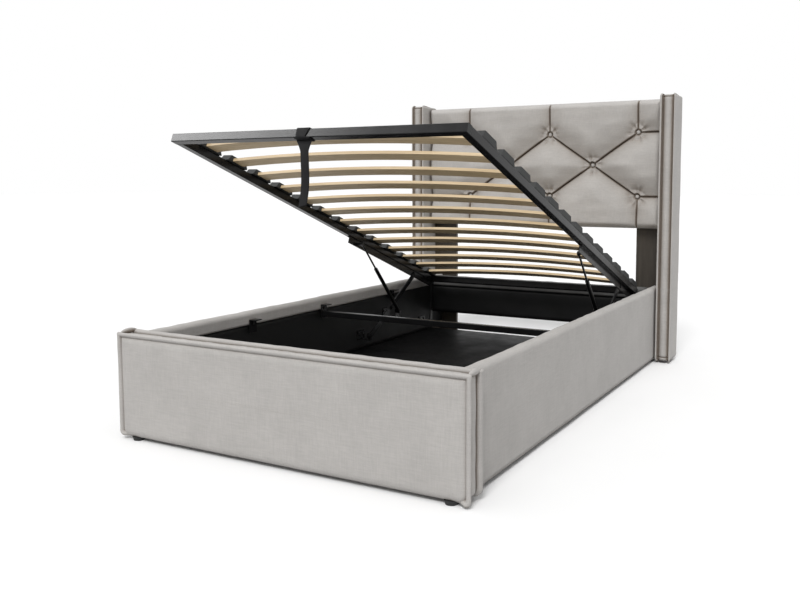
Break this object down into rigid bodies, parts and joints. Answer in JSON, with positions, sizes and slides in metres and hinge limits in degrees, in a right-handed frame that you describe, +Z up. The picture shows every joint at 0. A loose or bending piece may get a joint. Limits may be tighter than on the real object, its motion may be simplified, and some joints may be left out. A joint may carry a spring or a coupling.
{
  "type": "ottoman storage bed",
  "caption": "Upholstered ottoman bed with a deep-buttoned winged headboard and a sprung slat platform that lifts at the foot on gas struts over a lined storage well.",
  "frame": {"origin": "on the floor under the middle of the bed", "axes": "+X to the bed's right seen from its foot, +Y from foot to head, +Z up"},
  "size_m": [1.483, 2.28, 1.333],
  "materials": {
    "grey_fabric": "light warm grey woven upholstery",
    "black_lining": "black non-woven lining over board",
    "dark_board": "dark stained board",
    "inner_wood": "bare engineered timber",
    "slat_wood": "bent laminated birch, clear",
    "frame_paint": "satin dark grey powder coat",
    "cylinder_paint": "satin black",
    "rod_steel": "dark ground steel",
    "bolt_metal": "black zinc",
    "black_plastic": "moulded dark grey",
    "strap_webbing": "black woven webbing"
  },
  "bodies": {
    "root": {"cross_bar": "frame_paint", "floor_bearers": "inner_wood", "floor_cleats": "inner_wood", "floor_glides": "black_plastic", "floor_panel_1": "black_lining", "floor_panel_2": "black_lining", "floor_panel_3": "black_lining", "footboard_core": "inner_wood", "footboard_cover": "grey_fabric", "footboard_front_pad": "grey_fabric", "footboard_front_welt": "grey_fabric", "footboard_rear_welt": "grey_fabric", "frame_bolts": "bolt_metal", "head_rail_core": "inner_wood", "head_rail_cover": "grey_fabric", "headboard_back_board": "inner_wood", "headboard_dust_cover": "black_lining", "headboard_legs": "dark_board", "left_base_brackets": "frame_paint", "left_side_rail_core": "inner_wood", "left_side_rail_cover": "grey_fabric", "left_wing_upper_cover": "grey_fabric", "rest_brackets": "frame_paint", "right_base_brackets": "frame_paint", "right_side_rail_core": "inner_wood", "right_side_rail_cover": "grey_fabric", "right_wing_upper_cover": "grey_fabric", "storage_linings": "black_lining", "tuft_buttons": "grey_fabric", "tufted_headboard_pad": "grey_fabric", "wing_cores": "inner_wood", "wing_lower_covers": "grey_fabric"},
    "rear_links": {"rear_links": "frame_paint"},
    "platform": {"right_frame_tube": "frame_paint", "left_frame_tube": "frame_paint", "foot_tube": "frame_paint", "foot_tube_plugs": "black_plastic", "head_tube": "frame_paint", "right_slat_caps": "black_plastic", "left_slat_caps": "black_plastic", "right_upper_bracket": "frame_paint", "left_upper_bracket": "frame_paint", "pull_strap_loop": "strap_webbing", "slat_01": "slat_wood", "slat_02": "slat_wood", "slat_03": "slat_wood", "slat_04": "slat_wood", "slat_05": "slat_wood", "slat_06": "slat_wood", "slat_07": "slat_wood", "slat_08": "slat_wood", "slat_09": "slat_wood", "slat_10": "slat_wood", "slat_11": "slat_wood", "slat_12": "slat_wood", "slat_13": "slat_wood"},
    "lift_arms": {"lift_arms": "frame_paint"},
    "strut_cylinders": {"strut_cylinders": "cylinder_paint"},
    "strut_rods": {"strut_rods": "rod_steel"},
    "strap_tail": {"pull_strap_tail": "strap_webbing"}
  },
  "joints": [
    {"name": "rear_link_pivot", "type": "hinge", "parent": "root", "child": "rear_links", "pos_m": [0, 0.88102, 0.132], "axis": [1, 0, 0], "range_deg": [-15.44, 0]},
    {"name": "platform_pivot", "type": "hinge", "parent": "rear_links", "child": "platform", "pos_m": [0, 0.89635, 0.33955], "axis": [1, 0, 0], "range_deg": [0, 35.83], "stiffness_Nm_per_rad": 420, "springref_deg": -42.97},
    {"name": "lift_arm_pivot", "type": "hinge", "parent": "root", "child": "lift_arms", "pos_m": [0, 0.26777, 0.147], "axis": [1, 0, 0], "range_deg": [-10.64, 0]},
    {"name": "strut_pivot", "type": "hinge", "parent": "root", "child": "strut_cylinders", "pos_m": [0, 0.505, 0.238], "axis": [1, 0, 0], "range_deg": [0, 32.72]},
    {"name": "strut_slide", "type": "slide", "parent": "strut_cylinders", "child": "strut_rods", "axis": [0, -0.6668, 0.7453], "range_m": [-0.15974, 0]},
    {"name": "strap_swing", "type": "hinge", "parent": "platform", "child": "strap_tail", "pos_m": [-0.008, -0.9489, 1.03807], "axis": [1, 0, 0], "range_deg": [-20.41, 0]}
  ],
  "couplings": [
    {"joint": "rear_link_pivot", "follows": "platform_pivot", "ratio": -0.43058},
    {"joint": "lift_arm_pivot", "follows": "platform_pivot", "ratio": -0.29683},
    {"joint": "strut_pivot", "follows": "platform_pivot", "ratio": 0.91285},
    {"joint": "strut_slide", "follows": "platform_pivot", "m_per_rad": -0.25531},
    {"joint": "strap_swing", "follows": "platform_pivot", "ratio": -0.56942}
  ]
}
